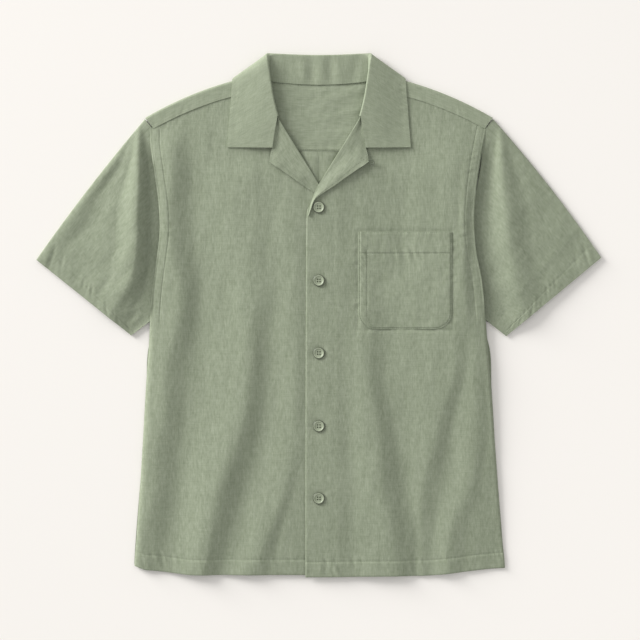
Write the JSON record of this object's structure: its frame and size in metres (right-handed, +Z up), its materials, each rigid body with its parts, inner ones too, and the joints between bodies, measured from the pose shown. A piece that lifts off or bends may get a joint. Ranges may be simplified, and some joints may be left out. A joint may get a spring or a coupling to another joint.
{
  "type": "camp shirt",
  "caption": "Short-sleeved camp shirt laid flat and buttoned, with an open notched collar, a patch chest pocket and straight hems.",
  "frame": {"origin": "under the middle of the shirt's outline, on the surface that it lies on", "axes": "+Z up out of the surface and out of the front of the shirt, +Y from the hem towards the collar, +X towards the wearer's left"},
  "size_m": [0.79, 0.7324, 0.0115],
  "materials": {
    "cloth": "plain-woven linen-like shirting, sage green, slubbed",
    "button": "satin, sage green, with four holes and a rim",
    "cord": "thread-covered cord"
  },
  "bodies": {
    "root": {"back": "cloth", "yoke": "cloth", "front_left": "cloth", "front_right": "cloth", "sleeve_left": "cloth", "sleeve_right": "cloth", "collar": "cloth", "lapel_left": "cloth", "lapel_right": "cloth", "pocket": "cloth", "neck_loop": "cord", "button_1": "button", "button_2": "button", "button_3": "button", "button_4": "button", "button_5": "button"}
  },
  "joints": []
}
